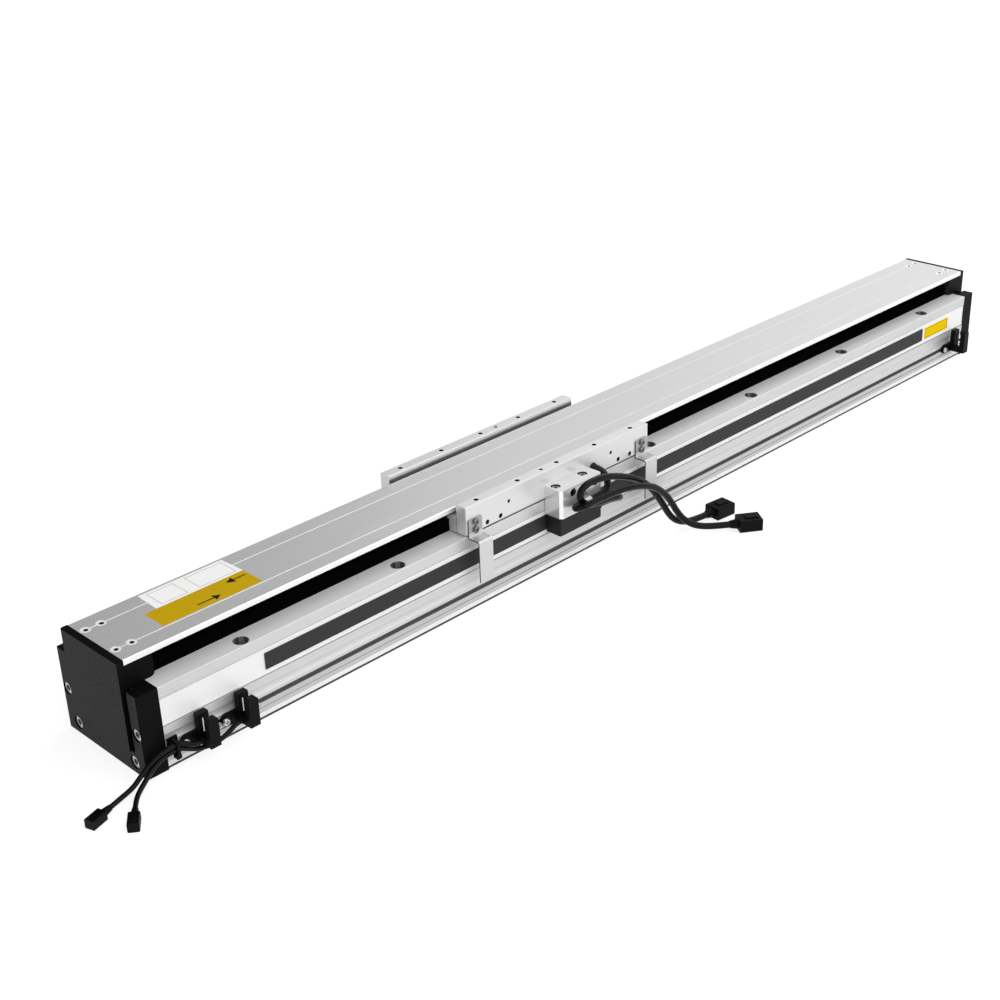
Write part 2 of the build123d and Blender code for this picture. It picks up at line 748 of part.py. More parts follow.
def slot_sensor(x):
    half = sensor_width / 2
    back = sensor_face - ear_thickness
    body = block((x - half, x + half), (back, sensor_front), (sensor_foot, sensor_top))
    body -= block((x - half, x + half), (slot_near, slot_far), (slot_floor, sensor_top))
    crown = [(x + s * half, (slot_far + sensor_front) / 2, sensor_top) for s in (-1, 1)]
    body = chamfer(nearest_edges(body, Axis.Y, crown), 1.6)
    for y, depth in ((slot_near, 0.6), (slot_far, -0.6)):
        body -= block((x - 0.6, x + 0.6), (y, y + depth), (slot_floor + 4.0, sensor_top - 4.0))
    ear = Rot(90, 0, 0) * extrude(SlotOverall(2 * ear_half_length, 10.0), ear_thickness)
    body += Pos(x, sensor_face, side_slot_height) * ear
    for offset in (-ear_screw_offset, ear_screw_offset):
        body -= rod((x + offset, sensor_face, side_slot_height), (0, -1, 0), 3.4, ear_thickness)
    return body + rod(sensor_lead_exit(x), (1, 0, 0), 5.6, sensor_boss)


def sensor_lead_exit(x):
    """Where a sensor's lead leaves its boss on the left of the housing."""
    return (x - sensor_width / 2 - sensor_boss, slot_near - 3.8, sensor_foot + 4.5)


def sensor_screws():
    """A pan head screw in each ear, and the square nut in the side slot that it pulls on."""
    screws, nuts = [], []
    for place in sensor_places:
        for offset in (-ear_screw_offset, ear_screw_offset):
            x = x_left + place + offset
            at = (x, sensor_face - ear_thickness, side_slot_height)
            screws.append(pan_screw(at, (0, 1, 0), 2.5, 6.4, 2.2, ear_thickness + 3.0))
            nut = block((x - 3.0, x + 3.0), (sensor_face + 1.4, sensor_face + 3.2),
                        (side_slot_height - 4.0, side_slot_height + 4.0))
            nuts.append(nut - rod((x, sensor_face, side_slot_height), (0, 1, 0), 2.6, 5.0))
    return screws, nuts


for name, place in zip(sensor_names, sensor_places):
    save(name, slot_sensor(x_left + place))
screws, nuts = sensor_screws()
save("sensor_screws", *screws)
save("slot_nuts", *nuts)


# Saddle with a T-shaped foot in the side slot, and the tie that holds both sensor leads to it
saddle_x = x_left + 25.7
saddle_front = sensor_face - 4.0
tie_width = 2.5
tie_thickness = 1.1
tie_low = side_slot_height - 3.5
tie_high = side_slot_height + 7.8
tie_front = sensor_face - 10.0
tie_back = saddle_front + 1.1 + tie_thickness + fit


def cable_saddle():
    """A plate on the side face with a bridge over the tie's tunnel."""
    plate = block((saddle_x - 3.9, saddle_x + 5.0), (sensor_face, sensor_face - 1.4),
                  (tie_low - 2.0, tie_high + 0.7))
    bridge = block((saddle_x - 2.9, saddle_x + 3.0), (sensor_face, saddle_front),
                   (tie_low + tie_thickness + 0.4, tie_high - tie_thickness - 0.4))
    bridge = chamfer(bridge.edges().group_by(Axis.Y)[0].filter_by(Axis.X), 0.4)
    span = (saddle_x - tie_width / 2 - fit, saddle_x + tie_width / 2 + fit)
    tunnel = block(span, (tie_back + fit, tie_back - tie_thickness - fit), (tie_low, tie_high))
    stem = block((saddle_x - 2.9, saddle_x + 4.0), (sensor_face, sensor_face + 1.6),
                 (side_slot_height - 2.15, side_slot_height + 2.15))
    foot = block((saddle_x - 2.9, saddle_x + 4.0), (sensor_face + 1.5, sensor_face + 3.1),
                 (side_slot_height - 4.1, side_slot_height + 4.1))
    return plate + bridge + stem + foot - tunnel


def cable_tie():
    """A closed strap loop with its square lock below the leads."""
    span = (saddle_x - tie_width / 2, saddle_x + tie_width / 2)
    loop = block(span, (tie_front, tie_back), (tie_low, tie_high))
    corners = [(saddle_x, tie_front, height) for height in (tie_low, tie_high)]
    loop = fillet(nearest_edges(loop, Axis.X, corners), 1.6)
    loop -= block(span, (tie_front + tie_thickness, tie_back - tie_thickness),
                  (tie_low + tie_thickness, tie_high - tie_thickness))
    lock = block((saddle_x - 2.2, saddle_x + 2.2), (tie_front + 0.8, tie_front + 5.4), (tie_low - 3.6, tie_low + 0.6))
    return loop + chamfer(lock.edges().filter_by(Axis.Y), 0.5)


save("cable_saddle", cable_saddle())
save("cable_tie", cable_tie())


# Leads: each route is a list of points chosen by hand, rounded as far as its runs allow
def from_left(points):
    """Points measured from the module's left end, set in the part's frame."""
    return [(x + x_left, y, z) for x, y, z in points]


def corner_radii(points):
    """0.45 of the shorter run at each corner, over the tangent of half the turn."""
    radii = []
    for before, at, after in zip(points, points[1:], points[2:]):
        first, second = Vector(at) - Vector(before), Vector(after) - Vector(at)
        turn = math.radians(first.get_angle(second))
        radii.append(0.45 * min(first.length, second.length) / math.tan(turn / 2))
    return radii


def lead(node, points, diameter):
    """A lead's tube along its route; prints its length, its radii and how true its volume is."""
    radii = corner_radii(points)
    path = FilletPolyline(*points, radius=radii)
    start = Plane(origin=path @ 0, z_dir=path % 0)
    tube = sweep(start * Circle(diameter / 2), path)
    share = tube.volume / (math.pi * diameter ** 2 / 4 * path.length)
    print(f"{node}: length {path.length:.0f}, radii {min(radii):.1f} to {max(radii):.1f}, volume {share:.3f}")
    save(node, tube)


def connector(at, heading, size):
    """A lead's connector: a moulded housing with a latch on top and a tapered tail for the lead."""
    long, wide, tall = size
    tail_length = 8.0
    frame = Plane(origin=at, z_dir=heading, x_dir=Vector(0, 0, 1).cross(Vector(heading)))
    align = (Align.CENTER, Align.CENTER, Align.MIN)
    housing = Pos(0, 0, tail_length) * Box(wide, tall, long, align=align)
    housing = fillet(housing.edges().filter_by(Axis.Z), 1.2)
    tail = Cone(tall * 0.3, tall * 0.42, tail_length, align=align)
    latch = Pos(0, tall / 2, tail_length + long * 0.3) * Box(wide * 0.4, 2.4, long * 0.6, align=align)
    latch = chamfer(nearest_edges(latch, Axis.X, [(0, tall, tail_length + long)]), 1.0)
    return frame * (housing + tail + latch)


grommet_foot = (lead_exit[0], lead_exit[1] + grommet_depth, lead_exit[2])
motor_route = [grommet_foot, (lead_exit[0], -61.0, lead_exit[2])] + from_left([
    (493.0, -68.0, 79.0), (490.5, -75.0, 74.0), (482.0, -79.0, 69.4), (467.0, -78.2, 68.0),
    (450.0, -78.2, 68.0), (441.0, -78.8, 68.3), (436.4, -85.4, 71.3), (441.0, -92.5, 74.5),
    (452.0, -93.0, 75.4), (465.0, -93.3, 75.2), (481.0, -94.0, 74.6), (492.5, -94.6, 73.8),
    (507.5, -95.5, 70.9), (523.6, -96.0, 65.1), (534.8, -96.5, 58.4), (545.8, -97.0, 48.2),
    (553.2, -97.6, 37.8), (558.8, -99.2, 27.4), (565.0, -102.6, 17.4), (574.5, -109.0, 9.4),
    (588.0, -118.4, 6.6), (602.0, -128.2, 6.6)])
encoder_route = [encoder_exit] + from_left([
    (495.5, -65.0, 49.8), (503.0, -67.5, 50.4), (505.6, -73.8, 53.2), (501.0, -80.0, 57.2),
    (491.0, -83.8, 61.4), (478.0, -85.8, 65.5), (464.5, -87.0, 67.8), (452.6, -86.4, 69.4),
    (444.6, -85.4, 74.2), (440.6, -85.0, 81.2), (443.8, -85.0, 87.6), (452.6, -85.0, 90.2),
    (463.4, -85.0, 90.0), (476.0, -85.5, 88.4), (491.2, -86.0, 83.6), (506.4, -87.0, 77.2),
    (517.4, -87.5, 71.2), (528.8, -88.0, 62.6), (537.6, -88.5, 52.8), (544.9, -89.2, 42.6),
    (550.8, -90.0, 33.4), (556.2, -91.0, 23.8), (563.4, -92.6, 14.6), (575.0, -95.0, 8.2),
    (589.5, -97.6, 6.6), (603.5, -99.2, 6.6)])
left_sensor_route = [sensor_lead_exit(x_left + sensor_places[0])] + from_left([
    (38.4, -66.5, 19.5), (34.0, -63.4, 21.0), (29.6, -60.2, 22.7), (20.5, -59.7, 22.6),
    (12.0, -58.2, 20.6), (3.5, -57.0, 15.7), (-5.0, -57.2, 9.5), (-14.0, -59.5, 5.2),
    (-26.0, -62.5, 4.5), (-38.0, -66.2, 4.5)])
home_sensor_route = [sensor_lead_exit(x_left + sensor_places[1])] + from_left([
    (75.0, -66.5, 19.5), (69.0, -67.0, 16.2), (61.0, -66.3, 12.7), (51.0, -64.6, 11.2),
    (42.0, -63.0, 12.2), (34.4, -61.7, 15.6), (28.8, -60.2, 18.2), (20.5, -59.7, 18.3),
    (12.0, -58.4, 15.7), (3.5, -58.2, 10.5), (-4.5, -61.0, 6.2), (-13.0, -66.0, 4.5),
    (-20.5, -73.0, 4.5), (-26.5, -81.0, 4.5)])

lead("motor_lead", motor_route, carriage_lead_diameter)
lead("encoder_lead", encoder_route, carriage_lead_diameter)
lead("left_sensor_lead", left_sensor_route, sensor_lead_diameter)
lead("home_sensor_lead", home_sensor_route, sensor_lead_diameter)


def end_of(route):
    """The last point of a route and the way that its last run heads."""
    last, before = Vector(route[-1]), Vector(route[-2])
    heading = last - before
    return last, Vector(heading.X, heading.Y, 0).normalized()


for node, route, size in (("motor_connector", motor_route, (22.0, 18.0, 12.0)),
                          ("encoder_connector", encoder_route, (22.0, 18.0, 12.0)),
                          ("left_sensor_connector", left_sensor_route, (14.0, 9.0, 8.0)),
                          ("home_sensor_connector", home_sensor_route, (14.0, 9.0, 8.0))):
    save(node, connector(*end_of(route), size))
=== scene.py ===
import math

import bmesh
import bpy
from mathutils import Euler, Matrix, Vector


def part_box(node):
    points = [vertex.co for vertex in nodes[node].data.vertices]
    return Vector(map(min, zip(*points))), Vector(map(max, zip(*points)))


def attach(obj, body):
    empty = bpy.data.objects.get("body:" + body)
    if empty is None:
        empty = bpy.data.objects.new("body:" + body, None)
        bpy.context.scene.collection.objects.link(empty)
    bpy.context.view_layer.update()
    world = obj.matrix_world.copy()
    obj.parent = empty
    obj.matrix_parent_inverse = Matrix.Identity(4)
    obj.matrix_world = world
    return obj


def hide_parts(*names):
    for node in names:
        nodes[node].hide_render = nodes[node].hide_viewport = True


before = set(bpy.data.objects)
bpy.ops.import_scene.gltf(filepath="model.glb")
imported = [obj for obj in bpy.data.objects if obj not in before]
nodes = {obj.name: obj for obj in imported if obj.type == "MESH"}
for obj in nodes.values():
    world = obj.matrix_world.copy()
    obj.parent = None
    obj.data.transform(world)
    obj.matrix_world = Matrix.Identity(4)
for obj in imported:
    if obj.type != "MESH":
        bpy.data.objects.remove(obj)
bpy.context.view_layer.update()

# View
# A long lens looks down along the module from beyond its left end, a little over a metre away. Its place and
# its turn come from the module's own edges and rows of holes.
view = bpy.data.objects.new("view", bpy.data.cameras.new("view"))
bpy.context.scene.collection.objects.link(view)
view.data.sensor_width = 36.0
view.data.lens = 57.085
view.data.clip_start = 0.05
tilt, heading, roll = (math.radians(angle) for angle in (63.807, -44.283, -1.992))
turn = Euler((tilt, 0.0, heading)).to_matrix() @ Matrix.Rotation(roll, 3, "Z")
view.matrix_world = Matrix.Translation((-1.0604, -0.9278, 0.6933)) @ turn.to_4x4()
bpy.context.scene.camera = view
bpy.context.scene.view_settings.view_transform = "Standard"


# Leads
# Round flexible leads with a black polyurethane sheath: two thick ones from the carriage, for the motor and
# the read head, and two thin ones from the sensors at the left end. Each ends in a moulded connector.
def linear(code):
    """An sRGB hex colour as linear values with alpha."""
    parts = [int(code[i:i + 2], 16) / 255 for i in (1, 3, 5)]
    return [p / 12.92 if p <= 0.04045 else ((p + 0.055) / 1.055) ** 2.4 for p in parts] + [1.0]


def add(tree, kind, settings=None, links=None):
    """Adds a node; a setting is an input's name or number, or else a property of the node."""
    node = tree.nodes.new(kind)
    for key, value in (settings or {}).items():
        if isinstance(key, int) or key in node.inputs:
            node.inputs[key].default_value = value
        else:
            setattr(node, key, value)
    for key, source in (links or {}).items():
        tree.links.new(source, node.inputs[key])
    return node


def blank(name):
    """A new material, its node tree and its shader."""
    made = bpy.data.materials.new(name)
    made.use_nodes = True
    return made, made.node_tree, made.node_tree.nodes["Principled BSDF"]


def clouded(name, dark, pale, cloud, rough, settings=None, detail=2.0, swirl=0.0, relief=None, grain=None):
    """A material whose tone drifts in soft clouds, and whose gloss does too where its roughness is a range.

    The relief is a strength and a height, over the clouds or over a finer grain. Sizes are in millimetres, and
    a grain that is too fine to show is drawn as coarse as it has to be.
    """
    made, tree, shader = blank(name)
    place = add(tree, "ShaderNodeTexCoord").outputs["Object"]
    drift = add(tree, "ShaderNodeTexNoise", {"Scale": 1000 / cloud, "Detail": detail, "Distortion": swirl},
                {"Vector": place}).outputs["Fac"]
    tone = add(tree, "ShaderNodeMix", {"data_type": "RGBA", 6: linear(dark), 7: linear(pale)}, {0: drift})
    tree.links.new(tone.outputs[2], shader.inputs["Base Color"])
    if isinstance(rough, tuple):
        gloss = add(tree, "ShaderNodeMapRange", {"To Min": rough[0], "To Max": rough[1]}, {"Value": drift})
        tree.links.new(gloss.outputs[0], shader.inputs["Roughness"])
    else:
        shader.inputs["Roughness"].default_value = rough
    if relief:
        height = drift
        if grain:
            height = add(tree, "ShaderNodeTexNoise", {"Scale": 1000 / grain, "Detail": 2.0},
                         {"Vector": place}).outputs["Fac"]
        skin = add(tree, "ShaderNodeBump", {"Strength": relief[0], "Distance": relief[1] / 1000},
                   {"Height": height})
        tree.links.new(skin.outputs[0], shader.inputs["Normal"])
    for key, value in (settings or {}).items():
        shader.inputs[key].default_value = value
    return made


def dress(finish, *names):
    """Gives CAD nodes one finish all over."""
    for name in names:
        nodes[name].data.materials.clear()
        nodes[name].data.materials.append(finish)


left_end = round(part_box("end_block_left")[0].x * 1000, 1)


def from_left(x, y, z):
    """A place in metres, given in millimetres from the module's left end, its middle plane and the floor."""
    return (x + left_end) / 1000, y / 1000, z / 1000


def tube(name, body, points, radii, finish):
    """A round piece along a smooth line through its route, with a radius for each point or one for all."""
    curve = bpy.data.curves.new(name + "_line", "CURVE")
    curve.dimensions = "3D"
    curve.bevel_depth = radii[0] / 1000
    curve.bevel_resolution = 6
    curve.resolution_u = 10
    curve.use_fill_caps = True
    line = curve.splines.new("NURBS")
    line.points.add(len(points) - 1)
    for index, point in enumerate(points):
        line.points[index].co = (*from_left(*point), 1.0)
        line.points[index].radius = radii[min(index, len(radii) - 1)] / radii[0]
    line.order_u = 3
    line.use_endpoint_u = True
    curve.materials.append(finish)
    piece = bpy.data.objects.new(name, curve)
    bpy.context.scene.collection.objects.link(piece)
    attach(piece, body)
    return piece


def lay_lead(name, body, points, diameter):
    """A lead along its route, in place of its node; the pieces on it are its connector and any sleeve.

    Its route and its diameter are in millimetres.
    """
    piece = tube(name + "_run", body, points, [diameter / 2], sheath)
    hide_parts(name)


# Polyurethane, extruded: a soft satin skin with a faint cloudiness and a fine matt grain.
sheath = clouded("polyurethane_sheath", "#070708", "#0E0E0F", 4.545, (0.22, 0.3),
                 {"IOR": 1.4, "Specular IOR Level": 0.2}, detail=3.0, relief=(0.15, 0.2), grain=0.5556)

# Glass-filled nylon, moulded: near black, with a fine spark-eroded grain that keeps its shine low.
nylon_look = {"dark": "#040405", "pale": "#0B0B0C", "cloud": 16.67, "rough": (0.42, 0.58),
              "settings": {"IOR": 1.33, "Specular IOR Level": 0.18}, "relief": (0.25, 0.1), "grain": 0.3846}
nylon = clouded("moulded_nylon", **nylon_look)

# A sleeve of black rubber that tapers from the carriage's wall along the motor lead: dull, a little cloudy.
sleeve_rubber = clouded("sleeve_rubber", "#080808", "#131313", 2.0, 0.6, {"IOR": 1.45})
sleeve = tube("lead_sleeve", "carriage", [(493.0, -54.0, 81.5), (493.0, -60.5, 81.4), (493.0, -65.5, 80.2),
                                          (492.8, -68.2, 78.6)], [4.3, 4.1, 3.9, 3.7], sleeve_rubber)

thick, thin = 6.3, 4.0
lay_lead("motor_lead", "carriage", [
    (493.0, -46.0, 81.6), (493.0, -61.0, 81.6), (493.0, -68.0, 79.0), (490.5, -75.0, 74.0),
    (482.0, -79.0, 69.4), (467.0, -78.2, 68.0), (450.0, -78.2, 68.0), (441.0, -78.8, 68.3),
    (436.4, -85.4, 71.3), (441.0, -92.5, 74.5), (452.0, -93.0, 75.4), (465.0, -93.3, 75.2),
    (481.0, -94.0, 74.6), (492.5, -94.6, 73.8), (507.5, -95.5, 70.9), (523.6, -96.0, 65.1),
    (534.8, -96.5, 58.4), (545.8, -97.0, 48.2), (553.2, -97.6, 37.8), (558.8, -99.2, 27.4),
    (565.0, -102.6, 17.4), (574.5, -109.0, 9.4), (588.0, -118.4, 6.6), (602.0, -128.2, 6.6)],
    thick)
lay_lead("encoder_lead", "carriage", [
    (487.7, -65.0, 49.8), (495.5, -65.0, 49.8), (503.0, -67.5, 50.4), (505.6, -73.8, 53.2),
    (501.0, -80.0, 57.2), (491.0, -83.8, 61.4), (478.0, -85.8, 65.5), (464.5, -87.0, 67.8),
    (452.6, -86.4, 69.4), (444.6, -85.4, 74.2), (440.6, -85.0, 81.2), (443.8, -85.0, 87.6),
    (452.6, -85.0, 90.2), (463.4, -85.0, 90.0), (476.0, -85.5, 88.4), (491.2, -86.0, 83.6),
    (506.4, -87.0, 77.2), (517.4, -87.5, 71.2), (528.8, -88.0, 62.6), (537.6, -88.5, 52.8),
    (544.9, -89.2, 42.6), (550.8, -90.0, 33.4), (556.2, -91.0, 23.8), (563.4, -92.6, 14.6),
    (575.0, -95.0, 8.2), (589.5, -97.6, 6.6), (603.5, -99.2, 6.6)],
    thick)
lay_lead("left_sensor_lead", "module_base", [
    (43.8, -66.5, 19.5), (38.4, -66.5, 19.5), (34.0, -63.4, 21.0), (29.6, -60.2, 22.7),
    (20.5, -59.7, 22.6), (12.0, -58.2, 20.6), (3.5, -57.0, 15.7), (-5.0, -57.2, 9.5),
    (-14.0, -59.5, 5.2), (-26.0, -62.5, 4.5), (-38.0, -66.2, 4.5)],
    thin)
lay_lead("home_sensor_lead", "module_base", [
    (80.4, -66.5, 19.5), (75.0, -66.5, 19.5), (69.0, -67.0, 16.2), (61.0, -66.3, 12.7),
    (51.0, -64.6, 11.2), (42.0, -63.0, 12.2), (34.4, -61.7, 15.6), (28.8, -60.2, 18.2),
    (20.5, -59.7, 18.3), (12.0, -58.4, 15.7), (3.5, -58.2, 10.5), (-4.5, -61.0, 6.2),
    (-13.0, -66.0, 4.5), (-20.5, -73.0, 4.5), (-26.5, -81.0, 4.5)],
    thin)
dress(nylon, "motor_connector", "encoder_connector", "left_sensor_connector", "home_sensor_connector")

# Studio
# A pale floor that keeps the module's shadow, a white surround, and three wide soft lamps. The floor's and
# the surround's white shows to the camera and in reflections, and adds no light to matt surfaces.
world = bpy.data.worlds.new("surround")
bpy.context.scene.world = world
world.use_nodes = True
tree = world.node_tree
light = tree.nodes["Background"]
light.inputs["Color"].default_value = (1.0, 1.0, 1.0, 1.0)
rays = add(tree, "ShaderNodeLightPath").outputs
towards = add(tree, "ShaderNodeSeparateXYZ", {}, {"Vector": add(tree, "ShaderNodeTexCoord").outputs["Generated"]})
# Metal mirrors a surround that is dark but for its bright right side. Matt surfaces get an even soft light.
mirrored = add(tree, "ShaderNodeMapRange", {"From Min": 0.45, "From Max": 0.85, "To Min": 0.08, "To Max": 1.15},
               {"Value": towards.outputs["X"]})
seen = add(tree, "ShaderNodeMath", {"operation": "MAXIMUM"},
           {0: rays["Is Camera Ray"], 1: rays["Is Transmission Ray"]})
matt_level, seen_level = 0.4, 1.0
level = add(tree, "ShaderNodeMix", {2: matt_level}, {0: rays["Is Glossy Ray"], 3: mirrored.outputs[0]})
level = add(tree, "ShaderNodeMix", {3: seen_level}, {0: seen.outputs[0], 2: level.outputs[0]})
tree.links.new(level.outputs[0], light.inputs["Strength"])

floor_reach = 8.0
floor_mesh = bpy.data.meshes.new("floor")
floor_mesh.from_pydata([(x * floor_reach, y * floor_reach, 0) for x, y in ((-1, -1), (1, -1), (1, 1), (-1, 1))],
                       [], [(0, 1, 2, 3)])
floor = bpy.data.objects.new("floor", floor_mesh)
bpy.context.scene.collection.objects.link(floor)
# Matt white paper. Its own glow is weaker round the module, within a metre, and full beyond 2.6 m.
paper, tree, shader = blank("white_paper")
rays = add(tree, "ShaderNodeLightPath").outputs
shader.inputs["Base Color"].default_value = linear("#A0A0A0")
shader.inputs["Roughness"].default_value = 0.9
shader.inputs["Specular IOR Level"].default_value = 0.0
shown = add(tree, "ShaderNodeMath", {"operation": "MAXIMUM"},
            {0: rays["Is Camera Ray"], 1: rays["Is Glossy Ray"]})
distance = add(tree, "ShaderNodeVectorMath", {"operation": "LENGTH"},
               {0: add(tree, "ShaderNodeTexCoord").outputs["Object"]})
base_glow = add(tree, "ShaderNodeMapRange", {"From Min": 1.0, "From Max": 2.6, "To Min": 0.78, "To Max": 1.0},
                {"Value": distance.outputs["Value"]})
amount = add(tree, "ShaderNodeMath", {"operation": "MULTIPLY"}, {0: shown.outputs[0], 1: base_glow.outputs[0]})
glow = add(tree, "ShaderNodeEmission", {}, {"Strength": amount.outputs[0]})
both = add(tree, "ShaderNodeAddShader", {}, {0: shader.outputs[0], 1: glow.outputs[0]})
tree.links.new(both.outputs[0], tree.nodes["Material Output"].inputs["Surface"])
floor_mesh.materials.append(paper)

# Each lamp's place, aim and width are in metres, and its power in watts.
for name, spot, aim, width, power in (
        ("front_lamp", (0.1, -2.0, 1.4), (0.0, 0.0, 0.05), 3.6, 63.0),
        ("left_lamp", (-2.4, -0.3, 0.8), (-0.4, 0.0, 0.05), 1.8, 9.0),
        ("top_lamp", (0.8, 0.3, 1.3), (0.5, 0.0, 0.0), 1.2, 7.0)):
    lamp = bpy.data.lights.new(name, "AREA")
    lamp.shape = "SQUARE"
    lamp.size = width
    lamp.energy = power
    holder = bpy.data.objects.new(name, lamp)
    bpy.context.scene.collection.objects.link(holder)
    holder.location = spot
    holder.rotation_euler = (Vector(aim) - Vector(spot)).to_track_quat("-Z", "Y").to_euler()


# Base extrusion
# Aluminium 6063, extruded and clear anodised, with two ledges that carry its counterbored holes. Its sides
# have a milled land for the scale, a slot for the sensors' nuts, and fine grooves that run along them.
def silver(name, dark, pale, rough, lines, grain, metal):
    """Bare or anodised metal with lines along the module and a fine grain, both sized in millimetres.

    Real lines and grains are finer than these, which are drawn as coarse as they have to be to show.
    """
    made, tree, shader = blank(name)
    place = add(tree, "ShaderNodeTexCoord").outputs["Object"]
    # Drawn out a hundred times along the module, the noise makes lines. Two fifths of the blend is grain.
    drawn = add(tree, "ShaderNodeMapping", {"Scale": (0.01, 1.0, 1.0)}, {"Vector": place})
    line = add(tree, "ShaderNodeTexNoise", {"Scale": 1000 / lines, "Detail": 3.0, "Roughness": 0.6},
               {"Vector": drawn.outputs[0]})
    speck = add(tree, "ShaderNodeTexNoise", {"Scale": 1000 / grain, "Detail": 2.0}, {"Vector": place})
    blend = add(tree, "ShaderNodeMix", {0: 0.4}, {2: line.outputs["Fac"], 3: speck.outputs["Fac"]})
    tone = add(tree, "ShaderNodeMix", {"data_type": "RGBA", 6: linear(dark), 7: linear(pale)},
               {0: blend.outputs[0]})
    swing = 0.06
    gloss = add(tree, "ShaderNodeMapRange", {"To Min": rough - swing, "To Max": rough + swing},
                {"Value": blend.outputs[0]})
    skin = add(tree, "ShaderNodeBump", {"Strength": 0.12, "Distance": 0.0002}, {"Height": blend.outputs[0]})
    tree.links.new(tone.outputs[2], shader.inputs["Base Color"])
    tree.links.new(gloss.outputs[0], shader.inputs["Roughness"])
    tree.links.new(skin.outputs[0], shader.inputs["Normal"])
    shader.inputs["Metallic"].default_value = metal
    return made


def lie_of(tree, *ways):
    """Where a point lies: along, across or up the module, or how far out from its middle plane."""
    spot = add(tree, "ShaderNodeSeparateXYZ", {}, {"Vector": add(tree, "ShaderNodeTexCoord").outputs["Object"]})
    out = add(tree, "ShaderNodeMath", {"operation": "ABSOLUTE"}, {0: spot.outputs["Y"]})
    found = {"along": spot.outputs["X"], "across": spot.outputs["Y"], "up": spot.outputs["Z"],
             "out": out.outputs[0]}
    return [found[way] for way in ways]


def off_axis(tree, along, out, row):
    """A point's distance from an upright axis: how far along from it, and the axis's row out in millimetres."""
    beside = add(tree, "ShaderNodeMath", {"operation": "SUBTRACT", 1: row / 1000}, {0: out})
    off = add(tree, "ShaderNodeCombineXYZ", {}, {"X": along, "Y": beside.outputs[0]})
    return add(tree, "ShaderNodeVectorMath", {"operation": "LENGTH"}, {0: off.outputs[0]}).outputs["Value"]


def zone(tree, *limits, unit=0.001):
    """1 where each value lies between its two limits, and 0 elsewhere; they are in millimetres by default."""
    mask = None
    for value, low, high in limits:
        inside = add(tree, "ShaderNodeMath", {"operation": "COMPARE", 1: (low + high) / 2 * unit,
                                              2: (high - low) / 2 * unit}, {0: value}).outputs[0]
        mask = inside if mask is None else add(tree, "ShaderNodeMath", {"operation": "MULTIPLY"},
                                               {0: mask, 1: inside}).outputs[0]
    return mask


def coat(tree, entry, *zones):
    """Lays colours or values over what an input of the shader has, each in its zone and the last on top."""
    socket = tree.nodes["Principled BSDF"].inputs[entry]
    colour = socket.type == "RGBA"
    under, over, result = (6, 7, 2) if colour else (2, 3, 0)
    for mask, value in zones:
        settings, links = {"data_type": "RGBA" if colour else "FLOAT"}, {0: mask}
        if socket.is_linked:
            links[under] = socket.links[0].from_socket
        else:
            settings[under] = socket.default_value
        if isinstance(value, bpy.types.NodeSocket):
            links[over] = value
        else:
            settings[over] = linear(value) if colour else value
        tree.links.new(add(tree, "ShaderNodeMix", settings, links).outputs[result], socket)


# Die lines about 1.2 mm apart on a satin skin. The ledges are blasted and scatter more; the land and the
# foot's chamfer are cut after anodising and are nearly white.
profile = silver("anodised_extrusion", "#C6C6C6", "#E0E0E0", 0.4, 1.2, 0.8, 0.5)
tree = profile.node_tree
along, up, out = lie_of(tree, "along", "up", "out")
land = zone(tree, (up, 39.0, 61.5), (out, 52.8, 53.2))
# Painted shade: a dark line under the land's upper step.
land_step_shadow = zone(tree, (up, 61.3, 61.9), (out, 52.8, 53.6))
ledge = zone(tree, (up, 71.2, 72.2), (out, 30.0, 53.2))
# Painted highlight: a bright line along each ledge's outer edge.
ledge_edge_highlight = zone(tree, (up, 71.5, 72.2), (out, 53.1, 53.7))
# Painted shade: the slot's inside is painted dark.
slot_shade = zone(tree, (up, 15.0, 24.2), (out, 50.0, 53.2))
below_slot = zone(tree, (up, 7.0, 16.8), (out, 53.0, 53.6))
# Painted shade: the two fine grooves are painted darker.
upper_groove_shade = zone(tree, (up, 37.2, 38.4), (out, 52.5, 53.45))
lower_groove_shade = zone(tree, (up, 10.6, 11.8), (out, 52.5, 53.45))
foot_chamfer = zone(tree, (up, 3.1, 7.0), (out, 53.0, 53.6))
# Painted shadow: a near-black band along the foot, where the module meets the floor.
foot_contact_shadow = zone(tree, (up, 0.2, 3.1), (out, 52.0, 53.6))
# The counterbores, every 160 mm along each ledge, are cut through the skin to bare metal. Their walls carry a
# painted reflection: pale and dark streaks, set by the way each part of a wall faces, stand in for what they
# mirror.
bore_row, bore_reach, pitch = 45.5, 6.8, 160.0
from_nearest = add(tree, "ShaderNodeMath", {"operation": "WRAP", 1: pitch / 2000, 2: -pitch / 2000}, {0: along})
bore = zone(tree, (off_axis(tree, from_nearest.outputs[0], out, bore_row), -1.0, bore_reach), (up, 31.0, 71.8))
around = add(tree, "ShaderNodeTexNoise", {"Scale": 1.4, "Detail": 2.0},
             {"Vector": add(tree, "ShaderNodeTexCoord").outputs["Normal"]})
reflection_streak = add(tree, "ShaderNodeMapRange", {"From Min": 0.42, "From Max": 0.58}, {"Value": around.outputs["Fac"]})
bare_and_reflection = add(tree, "ShaderNodeMix", {"data_type": "RGBA", 6: linear("#7C7C7C"), 7: linear("#FFFFFF")},
           {0: reflection_streak.outputs[0]})
